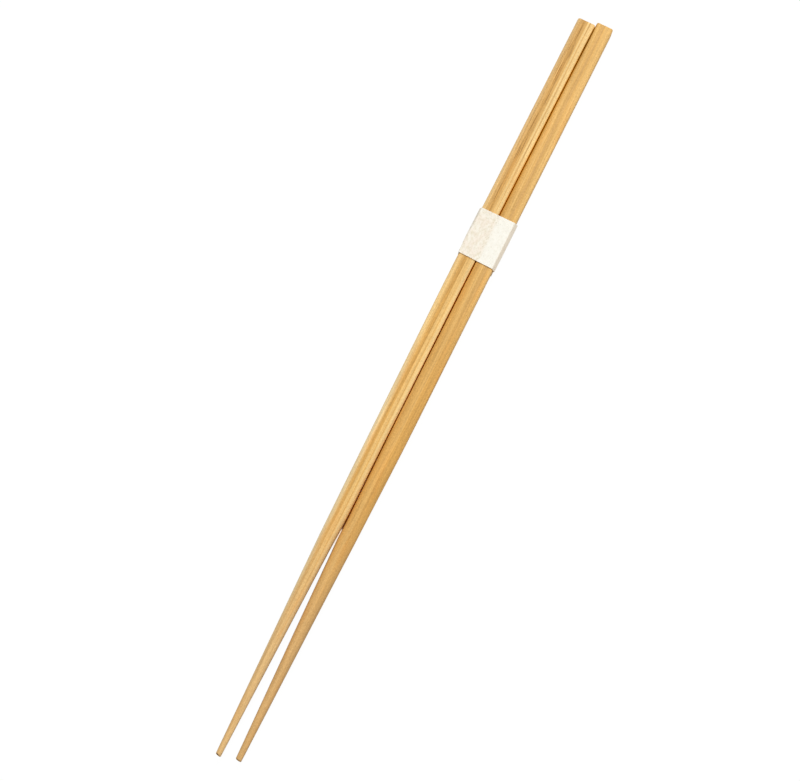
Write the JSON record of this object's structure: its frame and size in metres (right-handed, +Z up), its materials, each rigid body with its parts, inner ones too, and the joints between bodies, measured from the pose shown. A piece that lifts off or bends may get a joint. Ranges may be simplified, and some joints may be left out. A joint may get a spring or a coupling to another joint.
{
  "type": "bamboo chopsticks",
  "caption": "Bamboo chopsticks, square at the grip and turned to round tapering tips, held side by side by a plain paper band.",
  "frame": {"origin": "centre of the bounding box at its bottom, on the plane that the band's underside rests on", "axes": "+Y along the chopsticks towards their butts, +Z up, +X across the pair from the left chopstick to the right one"},
  "size_m": [0.0116, 0.2412, 0.0057],
  "materials": {
    "bamboo": "bare planed and turned bamboo, fine sanded",
    "paper": "plain pale fibrous paper, uncoated"
  },
  "bodies": {
    "root": {"chopstick_left": "bamboo", "chopstick_right": "bamboo", "paper_band": "paper"}
  },
  "joints": []
}
